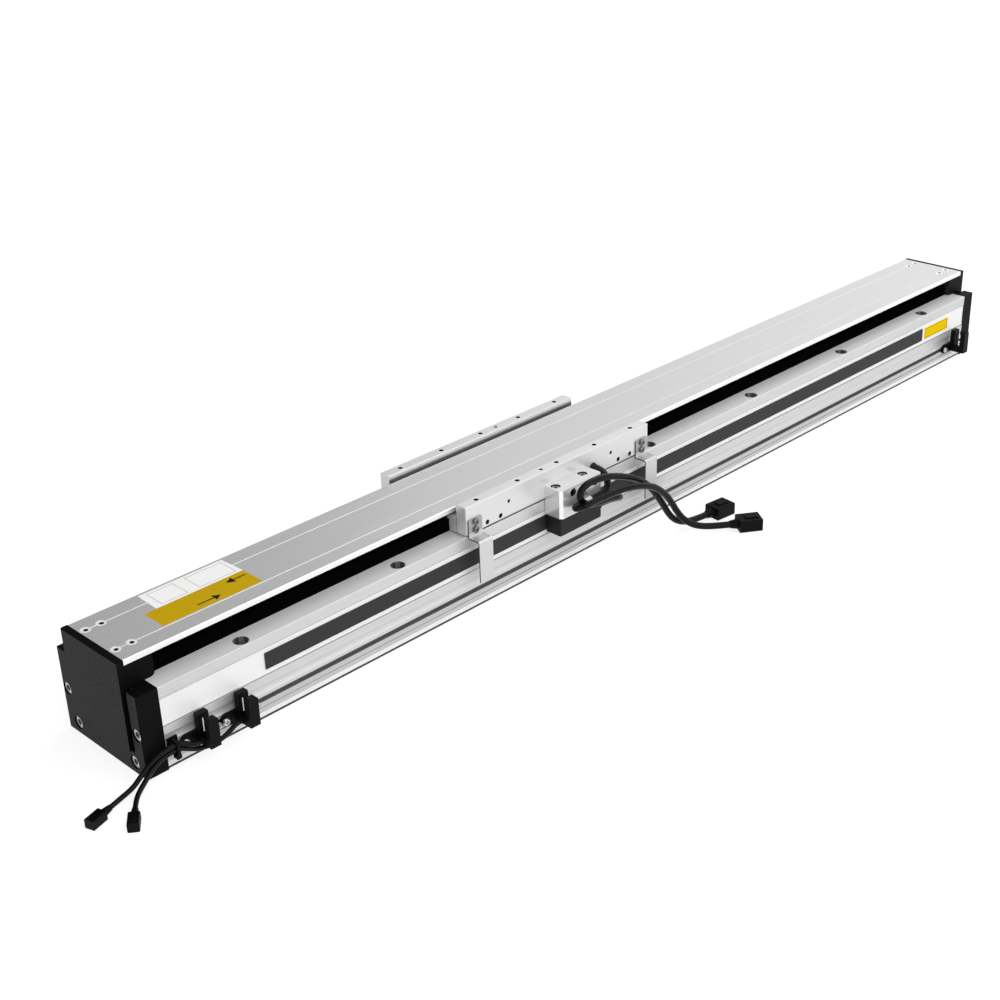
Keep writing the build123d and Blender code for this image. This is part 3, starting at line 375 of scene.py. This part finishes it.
coat(tree, "Base Color", (land, "#FDFDFD"), (ledge_edge_highlight, "#FAFAFA"), (ledge, "#DCDCDC"),
     (below_slot, "#C4C4C4"), (slot_shade, "#777777"), (upper_groove_shade, "#949494"), (lower_groove_shade, "#949494"),
     (foot_chamfer, "#FAFAFA"), (foot_contact_shadow, "#2E2E2E"), (land_step_shadow, "#8E8E8E"), (bore, bare_and_reflection.outputs[2]))
coat(tree, "Metallic", (ledge, 0.08), (land, 0.08), (foot_chamfer, 0.08), (bore, 0.75))
coat(tree, "Roughness", (bore, 0.22))
dress(profile, "base_extrusion")


# End blocks
# Milled aluminium, black anodised: a dry black skin with a fine grain. The outer end faces are blasted and
# coarser than the sides, and are painted a little greyer than them as a painted sheen.
def endwise(tree):
    """1 on faces that look along the module, and 0 elsewhere."""
    facing = add(tree, "ShaderNodeSeparateXYZ", {}, {"Vector": add(tree, "ShaderNodeTexCoord").outputs["Normal"]})
    turned = add(tree, "ShaderNodeMath", {"operation": "ABSOLUTE"}, {0: facing.outputs["X"]})
    return zone(tree, (turned.outputs[0], 0.9, 1.1), unit=1.0)


block_grain = 1.111
black = clouded("black_anodised", "#050505", "#0B0B0B", block_grain, (0.45, 0.6),
                {"IOR": 1.3, "Specular IOR Level": 0.15}, detail=3.0, relief=(0.3, 0.1))
tree = black.node_tree
# The end faces' coarser grain is real; their greyer tone is a painted sheen.
speck = add(tree, "ShaderNodeTexNoise", {"Scale": 1000 / block_grain, "Detail": 3.0},
            {"Vector": add(tree, "ShaderNodeTexCoord").outputs["Object"]})
coarse = add(tree, "ShaderNodeMapRange", {"From Min": 0.38, "From Max": 0.62}, {"Value": speck.outputs["Fac"]})
blasted_grain_and_sheen = add(tree, "ShaderNodeMix", {"data_type": "RGBA", 6: linear("#1A1A1A"), 7: linear("#383838")},
              {0: coarse.outputs[0]})
coat(tree, "Base Color", (endwise(tree), blasted_grain_and_sheen.outputs[2]))
dress(black, "end_block_left", "end_block_right")

# Top cover
# A flat extruded aluminium bar, clear anodised, with two fine grooves that were cut later and shine. Its side
# edges are painted bright, a painted highlight.
cover = silver("anodised_cover", "#C2C2C2", "#E8E8E8", 0.3, 0.9, 0.7, 0.4)
tree = cover.node_tree
up, out = lie_of(tree, "up", "out")
groove = zone(tree, (up, 94.8, 95.6), (out, 20.15, 20.65))
# Painted highlight along the cover's side edges.
edge_highlight = zone(tree, (out, 36.6, 37.6))
coat(tree, "Base Color", (groove, "#FAFAFA"), (edge_highlight, "#F6F6F6"))
coat(tree, "Metallic", (groove, 0.0))
dress(cover, "top_cover")

# Dust seals and rubber stops
# Black rubber lips and skirts close the channel on both sides of the carriage. The skirts under the cover's edges
# narrow the slit so that it shows dark: dark sheets that stand in for the shade inside the channel. The stops
# inside the channel and the grommet of the motor lead are moulded from the same compound, which is dry and has no
# shine.
rubber = clouded("black_rubber", "#030303", "#070707", 3.333, (0.65, 0.85), {"Specular IOR Level": 0.0})
dress(rubber, "dust_lip_near", "dust_lip_far", "cover_skirt_near", "cover_skirt_far", "bumpers_left",
      "bumpers_right", "lead_grommet")

# Rails and guide blocks
# Hardened bearing steel, ground: a bright even grey with fine lines along the rail and a trace of oil. The
# rails are screwed to the channel's floor, and the blocks under the carriage table.
bearing = silver("ground_steel", "#8E9092", "#A9ABAD", 0.26, 0.6, 1.0, 1.0)
dress(bearing, "guide_rail_near", "guide_rail_far", "guide_block_near_left", "guide_block_near_right",
      "guide_block_far_left", "guide_block_far_right")

# Magnet track
# A cold-drawn steel yoke with nickel plated magnets, both given dark, dull colours as painted shade for the
# channel's inside, so that nothing shines through the slit between the seals.
yoke_shade_steel = silver("yoke_painted_shade", "#141415", "#1C1D1E", 0.6, 2.0, 1.5, 0.4)
dress(yoke_shade_steel, "magnet_yoke")
magnet_shade_nickel = silver("nickel_magnet_painted_shade", "#141414", "#1C1C1B", 0.5, 3.0, 1.2, 0.4)
dress(magnet_shade_nickel, "magnets_near", "magnets_far")

# Coil
# The windings are cast in black epoxy, in a blade that hangs from the table between the magnets: a smooth
# satin face with faint flow marks.
epoxy = clouded("cast_epoxy", "#101012", "#1D1D20", 11.11, (0.25, 0.42), {"IOR": 1.55}, detail=4.0, swirl=0.8)
dress(epoxy, "coil_unit")

# Carriage table
# Aluminium plate, milled all over, blasted and clear anodised: paler and more even than the extrusion. Its holes
# are drilled and tapped after blasting; their countersunk mouths are painted white, a painted highlight, and
# their walls dark, as painted shade.
plate = silver("milled_table", "#D6D6D6", "#EEEEEE", 0.32, 2.5, 0.7, 0.36)
tree = plate.node_tree
along, across, up, out = lie_of(tree, "along", "across", "up", "out")
low, high = (corner * 1000 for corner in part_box("carriage_table"))
# M6 holes every 50 mm along each wall's top, and a dowel hole 20 mm from its middle: to the left on the near
# wall, and to the right on the far one.
hole_row, tapped_reach, dowel_reach, pitch, dowel_place = 48.2, 3.3, 2.6, 50.0, 20.0
from_middle = add(tree, "ShaderNodeMath", {"operation": "SUBTRACT", 1: (low.x + high.x) / 2000}, {0: along})
from_nearest = add(tree, "ShaderNodeMath", {"operation": "WRAP", 1: pitch / 2000, 2: -pitch / 2000},
                   {0: from_middle.outputs[0]})
which_wall = add(tree, "ShaderNodeMath", {"operation": "SIGN"}, {0: across})
turned_about = add(tree, "ShaderNodeMath", {"operation": "MULTIPLY"},
                   {0: from_middle.outputs[0], 1: which_wall.outputs[0]})
from_dowel = add(tree, "ShaderNodeMath", {"operation": "SUBTRACT", 1: dowel_place / 1000},
                 {0: turned_about.outputs[0]})
wall_top, wall_length = (up, 99.6, 100.4), (from_middle.outputs[0], -105.0, 105.0)
# The mouths of the M6 and dowel holes are painted white, a painted highlight.
tapped_mouth_highlight = zone(tree, (off_axis(tree, from_nearest.outputs[0], out, hole_row), -1.0, tapped_reach),
              wall_top, wall_length)
dowel_mouth_highlight = zone(tree, (off_axis(tree, from_dowel.outputs[0], out, hole_row), -1.0, dowel_reach),
             wall_top, wall_length)
# Painted shade: the walls' inner faces darken down towards the gap beside the cover, and their lower edges over
# the ledges are painted near black, a painted shadow line.
depth = add(tree, "ShaderNodeMapRange", {"From Min": 0.0976, "From Max": 0.0950}, {"Value": up})
shade = add(tree, "ShaderNodeMath", {"operation": "MULTIPLY"},
            {0: depth.outputs[0], 1: zone(tree, (out, 42.0, 42.6))})
lower_edge_shadow = zone(tree, (up, low.z - 0.1, low.z + 0.9), (out, -low.y - 0.3, -low.y + 0.3))
# What lies inside the walls' faces, clear of their broken edges, is the inside of a hole, painted dark as
# painted shade.
broken, inner_limit = 0.35, 42.7
hole_wall_shade = zone(tree, (along, low.x + broken, high.x - broken), (out, inner_limit, -low.y - broken),
                  (up, low.z + broken, high.z - broken))
coat(tree, "Base Color", (tapped_mouth_highlight, "#FFFFFF"), (dowel_mouth_highlight, "#FFFFFF"), (shade.outputs[0], "#6C6C6C"),
     (lower_edge_shadow, "#1C1C1C"), (hole_wall_shade, "#4A4A4A"))
dress(plate, "carriage_table")

# Read head bracket
# Aluminium, fly cut and clear anodised, screwed to the carriage's near wall: smoother than the table, so that the
# leads mirror in it. Its broken corners, cut last, are painted white as a painted highlight, and its hole walls
# dark as painted shade.
fly_cut = silver("fly_cut_bracket", "#D6D6D6", "#EAEAEA", 0.24, 2.5, 0.7, 0.5)
tree = fly_cut.node_tree
along, up, out = lie_of(tree, "along", "up", "out")
low, high = (corner * 1000 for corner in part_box("encoder_bracket"))
facing = add(tree, "ShaderNodeSeparateXYZ", {}, {"Vector": add(tree, "ShaderNodeTexCoord").outputs["Normal"]})
slant = add(tree, "ShaderNodeMath", {"operation": "MULTIPLY"}, {0: facing.outputs["X"], 1: facing.outputs["Y"]})
slant = add(tree, "ShaderNodeMath", {"operation": "ABSOLUTE"}, {0: slant.outputs[0]})
# Painted highlight along the slanted broken corners.
corner = zone(tree, (slant.outputs[0], 0.4, 0.6), unit=1.0)
broken, chamfer, inner_limit = 0.4, 2.7, 54.5
# The bracket's hole walls are painted dark, as painted shade.
hole_wall_shade = zone(tree, (along, low.x + chamfer, high.x - chamfer), (out, inner_limit, -low.y - broken),
                  (up, low.z + broken, high.z - broken))
coat(tree, "Base Color", (corner, "#FFFFFF"), (hole_wall_shade, "#4A4A4A"))
dress(fly_cut, "encoder_bracket")

# End plates, saddle and tie
# Small pieces moulded in the same nylon as the connectors: the plates close the carriage's ends, and the
# saddle and the tie hold the two sensor leads.
dress(nylon, "end_plate_left", "end_plate_right", "cable_saddle", "cable_tie")

# Slot sensors
# Forked housings moulded in nylon, screwed to nuts in the base's slot. In the two at the left, the window in the
# inner prong, which lets through the light that a flag cuts off, is painted white and glows faintly: a painted
# highlight.
housing = clouded("sensor_housing", **nylon_look)
tree = housing.node_tree
along, across, up = lie_of(tree, "along", "across", "up")
# The windows' white and faint glow are a painted highlight.
window_painted_glow = 0.3
for name in ("limit_sensor_left", "home_sensor"):
    middle = sum(corner.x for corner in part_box(name)) / 2 * 1000
    window_highlight = zone(tree, (along, middle - 1.4, middle - 0.2), (across, -62.8, -61.9), (up, 24.2, 35.8))
    coat(tree, "Base Color", (window_highlight, "#FFFFFF"))
    coat(tree, "Emission Strength", (window_highlight, window_painted_glow))
dress(housing, "limit_sensor_left", "home_sensor", "limit_sensor_right")

# Screws
# Stainless steel cap and pan head screws, turned, with a soft shine. The flags' screws are worn and blotchy,
# and the heads on the bracket's front are dark.
steel_look = {"dark": "#B5B4B1", "pale": "#D2D1CE", "cloud": 1.111, "rough": (0.22, 0.36),
              "settings": {"Metallic": 1.0}}
steel = clouded("stainless_steel", **steel_look)
dress(steel, "end_block_screws", "rail_screws", "table_screws", "end_plate_screws", "sensor_screws",
      "slot_nuts", "lead_clip_screw")
worn = clouded("worn_steel", "#4A4A49", "#A2A19E", 0.6667, (0.22, 0.36), {"Metallic": 1.0})
dress(worn, "flag_screws")
front_dark = clouded("bracket_screw_steel", **steel_look)
tree = front_dark.node_tree
across = lie_of(tree, "across")[0]
front = zone(tree, (across, -75.0, -67.0))
coat(tree, "Base Color", (front, "#3C3C3B"))
dress(front_dark, "bracket_screws")

# Cover screws
# Countersunk stainless screws, four at each end in the cover's grooves: bright polished heads round a hexagon
# socket that is painted dark, as painted shade.
polished = clouded("polished_steel", "#FAFAF9", "#FCFCFB", 1.111, (0.22, 0.36), {"Metallic": 0.15})
tree = polished.node_tree
along, out = lie_of(tree, "along", "out")
endwards = add(tree, "ShaderNodeMath", {"operation": "ABSOLUTE"}, {0: along})
screw_row, socket_reach = 20.4, 1.9
for place in (557.1, 570.6):
    from_screw = add(tree, "ShaderNodeMath", {"operation": "SUBTRACT", 1: place / 1000},
                     {0: endwards.outputs[0]})
    # Painted shade: the socket is painted dark.
    socket_shade = zone(tree, (off_axis(tree, from_screw.outputs[0], out, screw_row), -1.0, socket_reach))
    coat(tree, "Base Color", (socket_shade, "#242424"))
dress(polished, "cover_screws")

# Sensor flags and lead clip
# Stainless sheet with a plain mill finish and faint rolling lines, sheared and bent: the flags' sheared end edges
# are painted dark, a painted shadow line along them, and each flag's foot on the carriage is duller than its
# blade.
sheet_look = {"dark": "#C6C6C5", "pale": "#DADAD9", "rough": 0.34, "lines": 1.5, "grain": 1.0, "metal": 0.7}
sheet = silver("mill_finish_sheet", **sheet_look)
dress(sheet, "lead_clip")
flag_sheet = silver("bent_flag_sheet", **sheet_look)
tree = flag_sheet.node_tree
across, up = lie_of(tree, "across", "up")
flag_foot = zone(tree, (up, 75.5, 90.5), (across, -55.8, -53.5))
# The end edges' dark tone is a painted shadow line.
coat(tree, "Base Color", (flag_foot, "#A4A4A3"), (endwise(tree), "#4C4C4B"))
dress(flag_sheet, "sensor_flag_left", "sensor_flag_right")

# Scale tape
# A magnetic rubber tape under a dark cover strip, stuck in one length to the near side's land: flat dark
# grey with a faint sheen.
tape = clouded("magnetic_tape", "#1F1F1F", "#2A2A2A", 2.5, 0.6, {"IOR": 1.4}, detail=3.0)
dress(tape, "scale_tape")

# Read head
# A die-cast housing, screwed under the bracket and sprayed with matt dark grey paint, whose grain is drawn
# coarser than the real one so that it shows.
paint = clouded("matt_paint", "#151516", "#202021", 0.625, 0.5, {"IOR": 1.4, "Specular IOR Level": 0.3},
                relief=(0.3, 0.1))
dress(paint, "read_head")


# Labels
# Polyester film labels, blank but for two plain arrows and thin frames: a white one and a yellow one on the
# cover by the left end, and a small yellow one on the side by the right end.
def film(name, outlines, lift, finish):
    """Flat film that rides on the base: the corners of each outline, raised by its thickness in millimetres."""
    shape = bpy.data.meshes.new(name)
    work = bmesh.new()
    faces = [work.faces.new([work.verts.new(from_left(*corner)) for corner in outline]) for outline in outlines]
    raised = bmesh.ops.extrude_face_region(work, geom=faces)
    bmesh.ops.translate(work, vec=Vector(lift) / 1000,
                        verts=[v for v in raised["geom"] if isinstance(v, bmesh.types.BMVert)])
    bmesh.ops.recalc_face_normals(work, faces=work.faces)
    work.to_mesh(shape)
    work.free()
    shape.materials.append(finish)
    piece = bpy.data.objects.new(name, shape)
    bpy.context.scene.collection.objects.link(piece)
    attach(piece, "module_base")


def printed(name, dark, pale, rough):
    """Printed polyester: an even ink with a faint cloudiness under a satin skin."""
    return clouded(name, dark, pale, 6.667, rough, {"IOR": 1.3, "Specular IOR Level": 0.15}, detail=3.0)


def frame_strips(x0, x1, y0, y1, width):
    """The four strips of a thin printed frame, as flat outlines."""
    return [[(a, c), (b, c), (b, d), (a, d)] for a, b, c, d in (
        (x0, x1, y0, y0 + width), (x0, x1, y1 - width, y1),
        (x0, x0 + width, y0 + width, y1 - width), (x1 - width, x1, y0 + width, y1 - width))]


def arrow(tail, neck, tip, y):
    """A plain arrow along the module, as flat outlines: a thin shaft and a broad head."""
    shaft, barb = 0.7, 4.2
    return [[(tail, y - shaft), (neck, y - shaft), (neck, y + shaft), (tail, y + shaft)],
            [(neck, y - barb), (tip, y), (neck, y + barb)]]


def lying(outlines, z):
    """Flat outlines at a height over the floor."""
    return [[(x, y, z) for x, y in outline] for outline in outlines]


def upright(outlines, y):
    """Flat outlines on the module's side."""
    return [[(x, y, z) for x, z in outline] for outline in outlines]


white_film = printed("white_film", "#F6F6F5", "#FCFCFB", 0.5)
yellow_film = printed("yellow_film", "#C09C00", "#CCA700", 0.6)
bright_film = printed("bright_yellow_film", "#F4CC00", "#FCD600", 0.6)
black_ink = printed("black_ink", "#1C1A0A", "#26230E", 0.6)
grey_ink = printed("grey_ink", "#8C8C8A", "#9A9A98", 0.6)

thickness, ink, line_width = 0.12, 0.03, 0.4
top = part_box("top_cover")[1].z * 1000
film("cover_label_white", lying([[(65.0, 7.1), (146.4, 7.1), (145.0, 34.2), (66.0, 34.2)]], top),
     (0, 0, thickness), white_film)
film("cover_label_yellow", lying([[(53.6, -18.6), (145.9, -19.0), (146.4, 7.0), (54.0, 7.0)]], top),
     (0, 0, thickness), yellow_film)
film("label_arrows", lying(arrow(89.4, 104.5, 111.0, -12.0) + arrow(143.6, 132.0, 124.5, 0.0), top + thickness),
     (0, 0, ink), black_ink)
film("label_frames", lying(frame_strips(72.0, 96.0, 10.0, 31.0, line_width)
                           + frame_strips(107.0, 142.0, 10.0, 31.0, line_width), top + thickness),
     (0, 0, ink), grey_ink)

land_depth = 0.5
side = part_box("base_extrusion")[0].y * 1000 + land_depth
film("side_label", upright([[(1060.0, 42.5), (1110.0, 42.5), (1110.0, 56.0), (1060.0, 56.0)]], side),
     (0, -thickness, 0), bright_film)
film("side_label_frame", upright(frame_strips(1061.5, 1108.5, 43.7, 54.8, line_width), side - thickness),
     (0, -ink, 0), black_ink)
